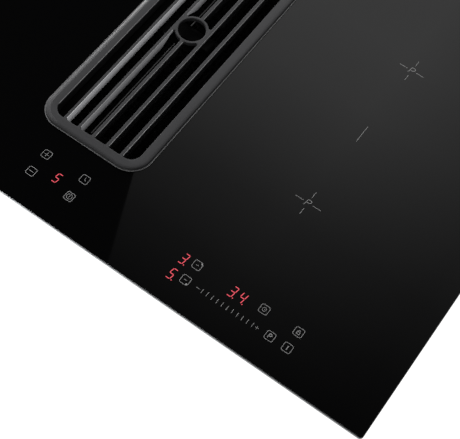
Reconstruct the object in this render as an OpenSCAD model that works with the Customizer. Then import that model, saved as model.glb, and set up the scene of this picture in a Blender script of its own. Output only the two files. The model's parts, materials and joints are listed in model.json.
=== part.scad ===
// Built-in induction cooktop with a downdraft extractor in its centre.
// Origin: below the middle of the glass, on the plane that the extractor case stands on.
// X runs to the right, Y to the back and Z up. All sizes are in millimetres.

/* [Overall] */
// Height from the base of the extractor case to the top of the glass
total_h = 210; // [176:1:260]

/* [Glass] */
// Width of the glass plate
glass_w = 830; // [700:1:1000]
// Depth of the glass plate
glass_d = 530; // [510:1:640]
// Thickness of the glass plate
glass_t = 4; // [3:0.5:6]
// Corner radius of the glass plate
glass_r = 4; // [3:0.5:12]
// Width of the ground bevel round the top edge
glass_bevel = 0.8; // [0.3:0.1:1.5]

/* [Seal] */
// Distance from the edge of the glass to the foam seal
seal_inset = 4; // [2:0.5:5]
// Width of the foam seal
seal_w = 8; // [5:0.5:8]
// Thickness of the foam seal
seal_t = 2; // [1:0.5:4]

/* [Grille] */
// Width over the grille's lip
grille_w = 139.5; // [130:0.5:168]
// Length over the grille's lip
grille_l = 392; // [320:1:400]
// Distance of the grille's centre behind the centre of the glass
grille_y = 27; // [15:1:29]
// Corner radius of the grille's lip
grille_r = 27.5; // [24:0.5:34]
// Height of the grille above the glass
grille_rise = 3; // [2.5:0.1:5]
// Width of the frame round the slots
frame_w = 14; // [12:0.5:16]
// Width of the rounded slope from the flat band to the lip
slope_w = 6.5; // [5:0.5:7]
// Width of the thin lip at the foot of the slope
lip_w = 1.2; // [0.8:0.1:2]
// Gap between the lip and the glass
lip_gap = 0.5; // [0.2:0.1:0.7]
// Thickness of the lip
lip_t = 0.6; // [0.5:0.1:1]
// Depth of the skirt below the top of the glass
skirt_h = 12; // [8:0.5:14]
// Thickness of the skirt
skirt_t = 2.2; // [1.5:0.1:2.5]
// Number of slats across the opening
slat_n = 5; // [5:2:7]
// Thickness of a slat
slat_t = 3.9; // [3:0.1:6]
// Depth of a slat
slat_h = 13.5; // [8:0.5:15]
// Inner radius of the finger ring
ring_r = 16; // [11:0.1:17]
// Wall of the finger ring
ring_wall = 3.4; // [3:0.1:6]
// Depth of the finger ring
ring_h = 5; // [4:0.5:7]
// Distance from the ring over which the slats reach their full depth
slat_taper = 14; // [8:1:30]
// Thickness of the silicone pads that the grille rests on
pad_t = 1.5; // [1:0.1:1.8]
// Width of a silicone pad
pad_w = 4; // [3:0.5:4.5]
// Length of a silicone pad
pad_l = 24; // [12:1:40]

/* [Throat] */
// How far the grille covers the glass round the cut-out
cover_w = 9; // [8:0.5:10]
// Wall of the throat liner
liner_t = 2; // [1.5:0.1:2]
// Width of the liner's flange under the glass
liner_flange = 8; // [6:0.5:9]
// How far the filter's ledge stands into the throat
ledge_w = 4; // [3:0.5:6]

/* [Filter] */
// Depth of the filter's top below the top of the glass
filter_drop = 16; // [15:0.5:20]
// Height of the filter cassette
filter_h = 28; // [20:1:30]
// Clearance round the filter in the throat
filter_gap = 1.5; // [1:0.1:2.5]
// Sheet thickness of the filter's frame
filter_sheet = 1.2; // [0.8:0.1:2]
// Width of the filter frame's lips
filter_lip = 8; // [5:0.5:12]
// Number of slots across the filter mesh
mesh_nx = 7; // [5:1:8]
// Number of slots along the filter mesh
mesh_ny = 11; // [7:1:13]
// Length of the filter's handle
handle_l = 56; // [40:1:64]
// Width of the filter's handle
handle_w = 14; // [10:1:16]
// Height of the filter's handle
handle_h = 8; // [6:0.5:8]

/* [Tray] */
// Height of the liquid tray
tray_h = 45; // [25:1:50]
// Wall of the liquid tray
tray_t = 2; // [1.5:0.1:3]
// Clearance from the tray to the filter's ledge as it is lifted out
tray_gap = 3; // [2:0.5:6]

/* [Hob housing] */
// Distance of the housing from each side edge of the glass
pan_side = 25; // [22:1:30]
// Distance of the housing from the front and rear edges of the glass
pan_front = 20; // [20:1:26]
// Depth of the housing below the glass
pan_h = 52; // [48:1:64]
// Corner radius of the housing
pan_r = 8; // [4:0.5:12]
// Sheet thickness of the steel housings
sheet = 1; // [0.8:0.1:1.5]
// Width of the flange bonded to the glass
pan_flange = 3; // [2:0.5:3.5]

/* [Coils] */
// Outer radius of a coil winding
coil_r = 88; // [70:1:90]
// Inner radius of a coil winding
coil_hole = 24; // [18:1:34]
// Distance between the front and the rear coil centres
coil_pitch = 217; // [200:1:225]
// Diameter of the litz wire
wire_d = 3.4; // [2.4:0.1:3.8]
// Radial distance between the turns of a winding
turn_pitch = 5.2; // [4.5:0.1:8]
// Thickness of the ferrite bars
ferrite_t = 4; // [3:0.5:5]
// Number of ferrite bars under a coil
ferrite_n = 8; // [6:1:12]
// Thickness of a coil carrier
carrier_t = 3; // [2:0.5:4]
// Thickness of the insulation sheets under the glass
mica_t = 0.6; // [0.4:0.1:1]

/* [Electronics] */
// Size of a power board along X
board_w = 190; // [150:1:210]
// Size of a power board along Y
board_d = 130; // [110:1:140]
// Thickness of the circuit boards
board_t = 1.6; // [1.2:0.1:2]
// Side of a cooling fan
fan_side = 80; // [70:1:84]
// Thickness of a cooling fan
fan_h = 15; // [12:1:18]
// Height of the standing feet under the boards and fans
standoff_h = 3; // [2:0.5:5]
// Radius of a touch pad under the glass
touch_r = 4.2; // [3:0.1:4.5]

/* [Extractor] */
// Distance of the extractor case behind the front edge of the glass
case_front = 90; // [80:1:90]
// Distance of the extractor case from the rear edge of the glass
case_rear = 40; // [36:1:42]
// Distance from the case's left side to the throat's chamber
case_left = 11.75; // [9:0.25:60]
// Clearance from the case to what it holds at its right side
case_gap = 8; // [5:1:20]
// Wall of the plastic ducts
duct_t = 2; // [1.5:0.1:3]
// Outer width of the outlet collar
duct_w = 222; // [204:1:222]
// Outer height of the outlet collar
duct_h = 89; // [80:1:92]
// Height of the ducts above the base
duct_z = 8; // [6:1:12]
// Radius of the impeller
fan_r = 76; // [66:1:78]
// Number of impeller blades
blade_n = 32; // [20:1:40]
// Height of the impeller
blade_h = 60; // [50:1:62]
// Clearance between impeller and scroll at the tongue
scroll_gap = 8; // [6:1:9]
// Growth of the scroll's radius over its turn
scroll_growth = 30; // [24:1:32]
// Radius of the inlet eye
eye_r = 60; // [50:1:62]
// Distance from the front edge of the glass to the fan's axis
fan_y = 250; // [240:1:262]
// Length of the outlet collar
collar_l = 58; // [50:1:58]

/* [Fits] */
// Radial clearance of a turning shaft or pin
running = 0.05; // [0.03:0.01:0.08]
// Clearance between pieces that are put together by hand
loose = 0.5; // [0.3:0.1:1]
// Radius of the fan motor's shaft
shaft_r = 4; // [3:0.1:5]
// Radius of the hinge pins
pin_r = 2; // [1.5:0.1:2.4]

/* [Supply] */
// Radius of the mains cable that the clamp takes
cable_r = 6.5; // [4:0.5:8]

/* [Hidden] */
$fn = 48;

// Levels
glass_z = total_h - glass_t;
pan_z = glass_z - pan_h;

// Cut-out in the glass, and what stands in it
cut_w = grille_w - 2 * cover_w;
cut_l = grille_l - 2 * cover_w;
cut_r = grille_r - cover_w;
throat_w = cut_w - 2 * liner_t;
throat_l = cut_l - 2 * liner_t;
throat_r = cut_r - liner_t;
pass_w = throat_w - 2 * ledge_w;
pass_l = throat_l - 2 * ledge_w;
pass_r = throat_r - ledge_w;
ledge_t = 2;
liner_tuck = 12;

// Grille
open_w = grille_w - 2 * frame_w;
slat_pitch = (open_w + slat_t) / (slat_n + 1);
ring_out = ring_r + ring_wall;
pad_x = grille_w / 2 - slope_w;
pad_y = grille_l / 2 - 75;

// Filter
filter_w = throat_w - 2 * filter_gap;
filter_l = throat_l - 2 * filter_gap;
filter_r = throat_r - filter_gap;
filter_z = total_h - filter_drop - filter_h;
mesh_w = filter_w - 2 * filter_sheet - loose;
mesh_l = filter_l - 2 * filter_sheet - loose;
mesh_t = 0.8;
mesh_r = filter_r - filter_sheet;
handle_t = 1.5;

// Hob housing
pan_w = glass_w - 2 * pan_side;
pan_d = glass_d - 2 * pan_front;
hole_gap = 1;

// Bays on both sides of the throat hold one pair of coils each
bay_margin = 3.25;
bay_in = cut_w / 2 + liner_flange + bay_margin;
bay_out = pan_w / 2 - sheet;
coil_x = (bay_in + bay_out) / 2;
coil_edge = 18.6;
coil_y = pan_d / 2 - sheet - coil_edge - coil_r - coil_pitch / 2;
coil_plate_w = min(2 * coil_r + 40, bay_out - bay_in - 4);
coil_plate_l = coil_pitch + 2 * coil_r + 8;
mica_z = glass_z - mica_t;
winding_z = mica_z - 1 - wire_d;
carrier_z = winding_z - carrier_t;
ferrite_z = carrier_z - ferrite_t;
coil_plate_z = ferrite_z - sheet;

// Front band of the housing holds the touch electronics
touch_y = -glass_d / 2 + 46;
touch_d = 44;
touch_z = glass_z - 9;
front = -glass_d / 2;
side_panel_x = 235;
side_panel_w = 190;
centre_panel_w = 84;

// Positions of the touch pads: distance from the panel's centre line and from the front edge
centre_keys = [[-25.6, 64], [-25.6, 38.2], [25.6, 64.2], [25.6, 38.4]];
side_keys = [[180, 55], [180, 34.3], [195.3, 34.5], [208, 34.5], [221, 34.5], [234, 34.5],
    [247, 34.5], [263, 55.7], [268.3, 34.8], [283.9, 35.1], [304.7, 56], [304.8, 35.2]];
centre_digits = [[1.4, 48.1]];
side_digits = [[165.5, 52.7], [165.5, 31.6], [227.2, 52.7], [239, 52.7]];
digit_w = 10;
digit_l = 16;
digit_h = 6;

// Electronics below the coil plates
parts_z = pan_z + sheet;
board_z = parts_z + standoff_h;
board_x = coil_x - 20;
board_y = -30;
fan_x = coil_x + 30;
fan_y_back = 150;
hub_r = 14;
blade_tip = fan_side / 2 - 4;
fan_pin = 1.5;

// Extractor
case_y0 = front + case_front;
case_y1 = glass_d / 2 - case_rear;
chamber_w = cut_w + 2 * loose + 2 * duct_t;
chamber_l = cut_l + 2 * loose + 2 * duct_t;
chamber_r = cut_r + loose + duct_t;
chamber_z = sheet + 4;
case_x0 = -chamber_w / 2 - case_left;
tray_w = pass_w - 2 * tray_gap;
tray_l = pass_l - 2 * tray_gap;
tray_r = pass_r - tray_gap;
tray_z = chamber_z + duct_t;
blower_y = front + fan_y;
scroll_r = fan_r + scroll_gap;
tongue_a = 60;
spiral_step = 15;
blower_x = chamber_w / 2 + scroll_r + 14;
scroll_right = scroll_r + scroll_growth;
scroll_left = scroll_r * cos(tongue_a) - 6;
scroll_out = scroll_r * sin(tongue_a) + 40;
scroll_z1 = duct_z + duct_h;
collar_x = chamber_w / 2 + loose + duct_w / 2;
collar_y1 = glass_d / 2 - 2;
collar_y0 = collar_y1 - collar_l;
case_x1 = max(collar_x + duct_w / 2, blower_x + scroll_right + duct_t) + case_gap;
case_w = case_x1 - case_x0;
case_d = case_y1 - case_y0;
case_flange = 8;
bridge_half = eye_r + 12;

// Motor and impeller levels
mount_t = 2;
stator_z = duct_z + duct_t + mount_t;
stator_base_t = 4;
stator_r = 28;
stator_flange_r = 40;
stator_h = 40;
cup_r = 34;
cup_t = 2;
wheel_z = stator_z + stator_base_t + 8;
bearing_r = 2 * shaft_r;
bearing_h = 6;
shaft_z = stator_z + 2;
cup_z = stator_z + stator_h + 3;
blade_t = 1.2;
blade_chord = 12;

// Non-return flap
flap_gap = 0.5;
flap_r = pin_r + 1;
flap_z = duct_z + duct_h - duct_t - flap_r - 1;
flap_y = collar_y0 + 8;
flap_t = 1.5;

// Terminal box under the housing
box_x = -250;
box_y = 150;
box_w = 110;
box_l = 62;
box_h = 28;
box_t = 2;
hinge_off = 5;
hinge_y = box_y - box_l / 2 - hinge_off;
hinge_z = pan_z - box_t - 1 - hinge_off;
hinge_x = 40;
knuckle_w = 8;
ear_t = 4;
ear_r = hinge_off - 1;

// Fixings
screw_r = 1.9;
screw_gap = 0.3;
head_r = 3.6;
head_h = 2.4;
screw_l = 2 * sheet;
clamp_y = 150;
clamp_w = 30;
clamp_h = 34;
clamp_reach = 20;
clamp_t = 1.5;

// Rounded rectangle made of true arcs
module rounded(w, d, r) {
    square([w - 2 * r, d], center = true);
    square([w, d - 2 * r], center = true);
    for (x = [-1, 1], y = [-1, 1])
        translate([x * (w / 2 - r), y * (d / 2 - r)]) circle(r);
}

// Plate with rounded corners, standing on z = 0
module slab(w, d, h, r) {
    linear_extrude(h) rounded(w, d, r);
}

// Upright wall that follows a rounded rectangle, measured outside
module wall(w, d, h, r, t) {
    linear_extrude(h) difference() {
        rounded(w, d, r);
        rounded(w - 2 * t, d - 2 * t, max(r - t, 0.5));
    }
}

// Sweeps a profile round a rounded rectangle: profile x is outwards from the outline
module rim(w, d, r) {
    for (i = [0:3]) {
        half = i % 2 == 0 ? w / 2 : d / 2;
        run = i % 2 == 0 ? d - 2 * r : w - 2 * r;
        rotate(90 * i) {
            translate([half, run / 2, 0]) rotate([90, 0, 0]) linear_extrude(run) children();
            translate([half - r, run / 2, 0])
                rotate_extrude(angle = 90) translate([r, 0]) children();
        }
    }
}

module at_throat(z) {
    translate([0, grille_y, z]) children();
}

// Box between two corners
module block(lo, hi) {
    translate(lo) cube(hi - lo);
}

module glass_plate() {
    color([0.02, 0.02, 0.02]) difference() {
        translate([0, 0, glass_z]) slab(glass_w, glass_d, glass_t, glass_r);
        at_throat(glass_z - 1) slab(cut_w, cut_l, glass_t + 2, cut_r);
        translate([0, 0, total_h]) rim(glass_w, glass_d, glass_r)
            polygon([[-glass_bevel, 0], [0, -glass_bevel], [1, -glass_bevel], [1, 1], [-glass_bevel, 1]]);
    }
}

module worktop_seal() {
    color([0.15, 0.15, 0.16]) translate([0, 0, glass_z - seal_t])
        wall(glass_w - 2 * seal_inset, glass_d - 2 * seal_inset, seal_t, glass_r, seal_w);
}

// Section of the grille's frame: lip, rounded slope, flat band and skirt
module frame_profile() {
    top = lip_gap + lip_t;
    polygon(concat(
        [[0, lip_gap], [0, top], [-lip_w, top]],
        [for (a = [75:-15:0])
            [-slope_w + (slope_w - lip_w) * sin(a), top + (grille_rise - top) * cos(a)]],
        [[-frame_w, grille_rise], [-frame_w, -skirt_h],
            [-frame_w + skirt_t, -skirt_h], [-frame_w + skirt_t, lip_gap]]
    ));
}

// Upright slat along Y; the slats at the ring are shallow beside it, over the filter's handle
module slat(x) {
    end = grille_l / 2 - frame_w + skirt_t / 2;
    full = grille_rise - slat_h;
    shallow = grille_rise - ring_h;
    near = abs(x) < max(ring_out, handle_l / 2) + slat_t;
    lower = near
        ? [[ring_out + slat_taper, full], [ring_out, shallow], [-ring_out, shallow],
            [-ring_out - slat_taper, full]]
        : [];
    translate([x, 0, 0]) rotate([90, 0, 90]) linear_extrude(slat_t, center = true)
        polygon(concat([[-end, full], [-end, grille_rise], [end, grille_rise], [end, full]], lower));
}

module pads(grow) {
    for (x = [-1, 1], y = [-1, 1])
        translate([x * pad_x, y * pad_y, pad_t / 2])
            cube([pad_w + grow, pad_l + grow, pad_t], center = true);
}

module grille() {
    color([0.27, 0.27, 0.28]) at_throat(total_h) difference() {
        union() {
            rim(grille_w, grille_l, grille_r) frame_profile();
            for (i = [0:slat_n - 1]) slat((i - (slat_n - 1) / 2) * slat_pitch);
            translate([0, 0, grille_rise - ring_h]) cylinder(h = ring_h, r = ring_out);
        }
        translate([0, 0, -slat_h]) cylinder(h = 2 * slat_h, r = ring_r);
        pads(0);
    }
}

module grille_pads() {
    color([0.1, 0.1, 0.1]) at_throat(total_h) pads(0);
}

module filter_frame() {
    color([0.1, 0.1, 0.11]) at_throat(filter_z) {
        wall(filter_w, filter_l, filter_h, filter_r, filter_sheet);
        for (z = [0, filter_h - filter_sheet])
            translate([0, 0, z]) wall(filter_w, filter_l, filter_sheet, filter_r, filter_lip);
    }
}

module filter_mesh() {
    px = (filter_w - 2 * filter_lip) / mesh_nx;
    py = (filter_l - 2 * filter_lip) / mesh_ny;
    bar = 3;
    difference() {
        slab(mesh_w, mesh_l, mesh_t, mesh_r);
        for (i = [0:mesh_nx - 1], j = [0:mesh_ny - 1])
            translate([(i - (mesh_nx - 1) / 2) * px, (j - (mesh_ny - 1) / 2) * py, mesh_t / 2])
                cube([px - bar, py - bar, 3 * mesh_t], center = true);
    }
}

// The upper mesh has a plain field that the handle stands on
module filter_meshes() {
    color([0.09, 0.09, 0.1]) {
        at_throat(filter_z + filter_sheet) filter_mesh();
        at_throat(filter_z + filter_h - filter_sheet - mesh_t) {
            filter_mesh();
            slab(handle_l + handle_w, 2 * handle_w, mesh_t, handle_w / 2);
        }
    }
}

// Layers of crossed bars that the grease settles on, between the two meshes
module filter_core() {
    skin = filter_sheet + mesh_t;
    bar = 1.6;
    layers = 3;
    step = (filter_h - 2 * skin - 2 * bar) / (layers - 1);
    px = (mesh_w - 2 * mesh_r) / mesh_nx;
    py = (mesh_l - 2 * mesh_r) / mesh_ny;
    color([0.08, 0.08, 0.09]) for (k = [0:layers - 1]) at_throat(filter_z + skin + k * step) {
        for (i = [0:mesh_nx]) translate([(i - mesh_nx / 2) * px, 0, bar / 2])
            cube([bar, mesh_l - 2 * loose, bar], center = true);
        for (j = [0:mesh_ny]) translate([0, (j - mesh_ny / 2) * py, 3 * bar / 2])
            cube([mesh_w - 2 * loose, bar, bar], center = true);
    }
}

// Strap handle across the middle of the filter, under the grille's ring
module filter_handle() {
    color([0.3, 0.3, 0.3]) at_throat(filter_z + filter_h - filter_sheet)
        for (x = [-1, 1]) {
            translate([x * (handle_l - handle_t) / 2, 0, handle_h / 2])
                cube([handle_t, handle_w, handle_h], center = true);
            translate([x * handle_l / 4, 0, handle_h - handle_t / 2])
                cube([handle_l / 2, handle_w, handle_t], center = true);
        }
}

module liquid_tray() {
    color([0.12, 0.12, 0.12]) at_throat(tray_z) difference() {
        slab(tray_w, tray_l, tray_h, tray_r);
        translate([0, 0, tray_t])
            slab(tray_w - 2 * tray_t, tray_l - 2 * tray_t, tray_h, tray_r - tray_t);
    }
}

module throat_liner() {
    low = pan_z - liner_tuck;
    color([0.08, 0.08, 0.08]) {
        at_throat(low) wall(cut_w, cut_l, glass_z - low, cut_r, liner_t);
        at_throat(glass_z - liner_t) wall(cut_w + 2 * liner_flange, cut_l + 2 * liner_flange,
            liner_t, cut_r + liner_flange, liner_flange + liner_t);
        at_throat(filter_z - ledge_t)
            wall(throat_w + liner_t, throat_l + liner_t, ledge_t, throat_r, ledge_w + liner_t / 2);
    }
}

module hob_pan() {
    vent_pitch = 8;
    vent = [4, 50];
    color([0.62, 0.63, 0.64]) difference() {
        union() {
            translate([0, 0, pan_z]) slab(pan_w, pan_d, sheet, pan_r);
            translate([0, 0, pan_z]) wall(pan_w, pan_d, pan_h, pan_r, sheet);
            translate([0, 0, glass_z - sheet]) wall(pan_w + 2 * pan_flange,
                pan_d + 2 * pan_flange, sheet, pan_r + pan_flange, pan_flange + sheet);
        }
        at_throat(pan_z - 1)
            slab(cut_w + 2 * hole_gap, cut_l + 2 * hole_gap, sheet + 2, cut_r + hole_gap);
        for (s = [-1, 1], i = [-3:3]) {
            translate([s * fan_x + i * vent_pitch, fan_y_back, pan_z])
                cube([vent[0], vent[1], 4 * sheet], center = true);
            translate([s * coil_x + 2 * i * vent_pitch, front + pan_front, pan_z + pan_h / 3])
                cube([vent[0], 4 * sheet, pan_h / 4], center = true);
        }
        screw_places(screw_r + screw_gap / 2);
        translate([box_x, box_y, pan_z])
            cylinder(h = 4 * sheet, r = cable_r + 4, center = true);
    }
}

// Plate that carries the two coils of one side
module coil_plate(side) {
    color([0.75, 0.76, 0.77]) translate([side * coil_x, coil_y, coil_plate_z]) difference() {
        slab(coil_plate_w, coil_plate_l, sheet, 6);
        for (y = [-1, 1]) translate([0, y * coil_pitch / 2, -1]) cylinder(h = 4, r = coil_hole - 6);
    }
    color([0.75, 0.76, 0.77]) for (x = [-1, 1], y = [-1, 1])
        translate([side * coil_x + x * (coil_plate_w / 2 - 5), coil_y + y * (coil_plate_l / 2 - 5),
            parts_z]) cylinder(h = coil_plate_z - parts_z, r = 3);
}

module coil_plate_left() coil_plate(-1);
module coil_plate_right() coil_plate(1);

module mica_sheets() {
    color([0.8, 0.76, 0.66]) for (side = [-1, 1])
        translate([side * coil_x, coil_y, mica_z]) slab(2 * coil_r + 4, coil_plate_l, mica_t, 6);
}

module at_coil(side, end, z) {
    translate([side * coil_x, coil_y + end * coil_pitch / 2, z]) children();
}

// Spoked disc that holds a winding
module coil_carrier(side, end) {
    color([0.85, 0.84, 0.8]) at_coil(side, end, carrier_z) difference() {
        cylinder(h = carrier_t, r = coil_r + 2);
        translate([0, 0, -1]) cylinder(h = carrier_t + 2, r = coil_hole - 8);
        for (a = [0:45:315]) rotate(a + 22.5) translate([coil_hole + 8, -4, -1])
            cube([coil_r - coil_hole - 18, 8, carrier_t + 2]);
    }
}

// Flat winding of litz wire, drawn as rings side by side
module coil_winding(side, end) {
    turns = floor((coil_r - coil_hole) / turn_pitch);
    color([0.72, 0.38, 0.2]) at_coil(side, end, winding_z + wire_d / 2)
        for (i = [0:turns - 1]) rotate_extrude()
            translate([coil_r - wire_d / 2 - i * turn_pitch, 0]) circle(wire_d / 2);
}

module coil_ferrites(side, end) {
    color([0.2, 0.2, 0.21]) at_coil(side, end, ferrite_z)
        for (i = [0:ferrite_n - 1]) rotate(360 * i / ferrite_n)
            translate([coil_hole, -6, 0]) cube([coil_r - coil_hole - 4, 12, ferrite_t]);
}

module coil_carrier_front_left() coil_carrier(-1, -1);
module coil_carrier_rear_left() coil_carrier(-1, 1);
module coil_carrier_front_right() coil_carrier(1, -1);
module coil_carrier_rear_right() coil_carrier(1, 1);
module coil_winding_front_left() coil_winding(-1, -1);
module coil_winding_rear_left() coil_winding(-1, 1);
module coil_winding_front_right() coil_winding(1, -1);
module coil_winding_rear_right() coil_winding(1, 1);
module coil_ferrites_front_left() coil_ferrites(-1, -1);
module coil_ferrites_rear_left() coil_ferrites(-1, 1);
module coil_ferrites_front_right() coil_ferrites(1, -1);
module coil_ferrites_rear_right() coil_ferrites(1, 1);

// Sensor in the middle of each coil, pressed up against the insulation sheet
module temperature_sensors() {
    color([0.9, 0.9, 0.88]) for (side = [-1, 1], end = [-1, 1])
        at_coil(side, end, coil_plate_z + sheet) {
            cylinder(h = mica_z - coil_plate_z - sheet, r = 5);
            translate([0, 0, carrier_z - coil_plate_z - sheet]) cylinder(h = carrier_t, r = 10);
        }
}

module power_board(side) {
    color([0.1, 0.35, 0.2]) translate([side * board_x, board_y, board_z]) {
        slab(board_w, board_d, board_t, 2);
        for (x = [-1, 1], y = [-1, 1])
            translate([x * (board_w / 2 - 8), y * (board_d / 2 - 8), -standoff_h])
                cylinder(h = standoff_h, r = 3);
    }
}

module power_board_left() power_board(-1);
module power_board_right() power_board(1);

// Finned aluminium block that cools the transistors, with its fins along the airflow
module heatsink(side) {
    w = 60;
    l = 96;
    fin_n = 9;
    fin_t = 1.6;
    base_t = 5;
    h = min(22, coil_plate_z - board_z - board_t - 2);
    color([0.7, 0.71, 0.72]) translate([side * (board_x + 50), board_y, board_z + board_t]) {
        translate([-w / 2, -l / 2, 0]) cube([w, l, base_t]);
        for (i = [0:fin_n - 1])
            translate([-w / 2 + i * (w - fin_t) / (fin_n - 1), -l / 2, 0]) cube([fin_t, l, h]);
    }
}

module heatsink_left() heatsink(-1);
module heatsink_right() heatsink(1);

// Capacitors, chokes and relays soldered to a power board
module board_parts(side) {
    tall = min(20, coil_plate_z - board_z - board_t - 2);
    color([0.2, 0.22, 0.3]) translate([side * board_x, board_y, board_z + board_t]) {
        for (y = [-40, 0, 40]) translate([-side * 70, y, 0]) cylinder(h = tall, r = 11);
        for (y = [-42, 4]) translate([-side * 28 - 13, y, 0]) cube([26, 34, tall - 3]);
        translate([-side * 44 - 3, 54, 0]) cube([30, 8, 8]);
    }
}

module board_parts_left() board_parts(-1);
module board_parts_right() board_parts(1);

module at_fan(side) {
    translate([side * fan_x, fan_y_back, parts_z]) children();
}

module cooling_fan_frame(side) {
    floor_t = 2;
    color([0.1, 0.1, 0.1]) at_fan(side) {
        difference() {
            translate([0, 0, standoff_h]) slab(fan_side, fan_side, fan_h, 4);
            translate([0, 0, standoff_h - 1]) cylinder(h = fan_h + 2, r = blade_tip + 2);
        }
        translate([0, 0, standoff_h]) {
            cylinder(h = floor_t, r = hub_r);
            cylinder(h = fan_h - 3, r = fan_pin);
            for (a = [45:90:315]) rotate(a) translate([0, -2, 0]) cube([blade_tip + 3, 4, floor_t]);
        }
        for (x = [-1, 1], y = [-1, 1])
            translate([x * (fan_side / 2 - 6), y * (fan_side / 2 - 6), 0])
                cylinder(h = standoff_h, r = 3);
    }
}

module cooling_fan_rotor(side) {
    blade_count = 7;
    low = standoff_h + 3;
    color([0.16, 0.16, 0.17]) at_fan(side) difference() {
        translate([0, 0, low]) {
            cylinder(h = fan_h - 4, r = hub_r);
            for (i = [0:blade_count - 1]) rotate(360 * i / blade_count)
                translate([hub_r - 3, 0, (fan_h - 5) / 2]) rotate([35, 0, 0])
                    translate([0, -8, -0.6]) cube([blade_tip - hub_r + 2, 16, 1.2]);
        }
        cylinder(h = standoff_h + fan_h - 3 + loose, r = fan_pin + running);
    }
}

module cooling_fan_frame_left() cooling_fan_frame(-1);
module cooling_fan_frame_right() cooling_fan_frame(1);
module cooling_fan_rotor_left() cooling_fan_rotor(-1);
module cooling_fan_rotor_right() cooling_fan_rotor(1);

// Board under a row of touch keys, on feet that stand on the housing
module touch_board(x, w) {
    color([0.1, 0.3, 0.2]) translate([x, touch_y, touch_z - board_t]) {
        slab(w, touch_d, board_t, 2);
        for (i = [-1, 1], j = [-1, 1])
            translate([i * (w / 2 - 5), j * (touch_d / 2 - 5), parts_z - touch_z + board_t])
                cylinder(h = touch_z - board_t - parts_z, r = 2.5);
    }
}

module touch_board_left() touch_board(-side_panel_x, side_panel_w);
module touch_board_centre() touch_board(0, centre_panel_w);
module touch_board_right() touch_board(side_panel_x, side_panel_w);

// Sprung electrodes that press against the glass, one under each key
module touch_pads() {
    color([0.8, 0.8, 0.82]) {
        for (k = centre_keys) translate([k[0], front + k[1], touch_z])
            cylinder(h = glass_z - touch_z, r = touch_r);
        for (side = [-1, 1], k = side_keys) translate([side * k[0], front + k[1], touch_z])
            cylinder(h = glass_z - touch_z, r = touch_r);
    }
}

// Seven-segment modules under the glass
module display_modules() {
    places = concat(centre_digits, side_digits, [for (d = side_digits) [-d[0], d[1]]]);
    color([0.5, 0.05, 0.07]) for (d = places)
        translate([d[0], front + d[1], touch_z + digit_h / 2])
            cube([digit_w, digit_l, digit_h], center = true);
}

module extractor_case() {
    mid = [(case_x0 + case_x1) / 2, (case_y0 + case_y1) / 2, 0];
    color([0.66, 0.67, 0.68]) difference() {
        translate(mid) {
            slab(case_w, case_d, sheet, 6);
            wall(case_w, case_d, pan_z, 6, sheet);
            translate([0, 0, pan_z - sheet]) wall(case_w + 2 * case_flange,
                case_d + 2 * case_flange, sheet, 6 + case_flange, case_flange + sheet);
        }
        block([collar_x - duct_w / 2 - loose, case_y1 - 4, duct_z - loose],
            [collar_x + duct_w / 2 + loose, case_y1 + 4, duct_z + duct_h + loose]);
        screw_places(screw_r + screw_gap / 2);
    }
}

// Plastic box under the throat, open at the top, with a window towards the fan
module intake_chamber() {
    color([0.1, 0.1, 0.1]) difference() {
        at_throat(chamber_z) {
            slab(chamber_w, chamber_l, duct_t, chamber_r);
            wall(chamber_w, chamber_l, pan_z - chamber_z, chamber_r, duct_t);
            for (x = [-1, 1], y = [-1, 1])
                translate([x * (chamber_w / 2 - chamber_r), y * (chamber_l / 2 - chamber_r),
                    sheet - chamber_z]) cylinder(h = chamber_z - sheet, r = 8);
        }
        block([chamber_w / 2 - 2 * duct_t, blower_y - bridge_half + duct_t, scroll_z1 + duct_t],
            [chamber_w / 2 + duct_t, blower_y + bridge_half - duct_t, pan_z - 2 * duct_t]);
    }
}

// Flat duct that leads from the chamber's window over the inlet eye
module bridge_duct() {
    color([0.12, 0.12, 0.12]) difference() {
        block([chamber_w / 2, blower_y - bridge_half, scroll_z1],
            [blower_x + bridge_half, blower_y + bridge_half, pan_z - loose]);
        block([chamber_w / 2 - 1, blower_y - bridge_half + duct_t, scroll_z1 - 1],
            [blower_x + bridge_half - duct_t, blower_y + bridge_half - duct_t,
                pan_z - loose - duct_t]);
    }
}

// Plan of the scroll: a spiral that opens into a straight outlet towards the back
module scroll_plan(grow, past) {
    turn = 360 - tongue_a;
    polygon(concat(
        [[scroll_r * cos(tongue_a) - grow, scroll_r * sin(tongue_a) + grow]],
        [for (a = [tongue_a + spiral_step:spiral_step:360])
            let (r = scroll_r + scroll_growth * (a - tongue_a) / turn + grow)
            [r * cos(a), r * sin(a)]],
        [[scroll_right + grow, scroll_out + past], [scroll_left - grow, scroll_out + past]]
    ));
}

module at_blower(z) {
    translate([blower_x, blower_y, z]) children();
}

module scroll_base() {
    color([0.14, 0.14, 0.15]) {
        at_blower(duct_z) linear_extrude(duct_t) scroll_plan(duct_t, 0);
        for (a = [45:90:315]) at_blower(sheet) rotate(a) translate([scroll_r - 12, 0, 0])
            cylinder(h = duct_z - sheet, r = 8);
        at_blower(duct_z) linear_extrude(duct_h - duct_t) difference() {
            scroll_plan(duct_t, 0);
            scroll_plan(0, 1);
        }
    }
}

// Lid with a rounded mouth that guides the air into the impeller
module scroll_lid() {
    color([0.16, 0.16, 0.17]) at_blower(scroll_z1 - duct_t) {
        linear_extrude(duct_t) difference() {
            scroll_plan(duct_t, 0);
            circle(eye_r);
        }
        rotate_extrude() polygon([[eye_r, duct_t], [eye_r + 4, duct_t], [eye_r + 4, 0],
            [eye_r + duct_t, -2], [eye_r + duct_t, -5], [eye_r, -5]]);
    }
}

// Rubber discs between the scroll and the motor
module motor_mounts() {
    color([0.05, 0.05, 0.05]) at_blower(duct_z + duct_t)
        for (a = [45:90:315]) rotate(a) translate([stator_flange_r - 7, 0, 0])
            cylinder(h = mount_t, r = 5);
}

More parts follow.
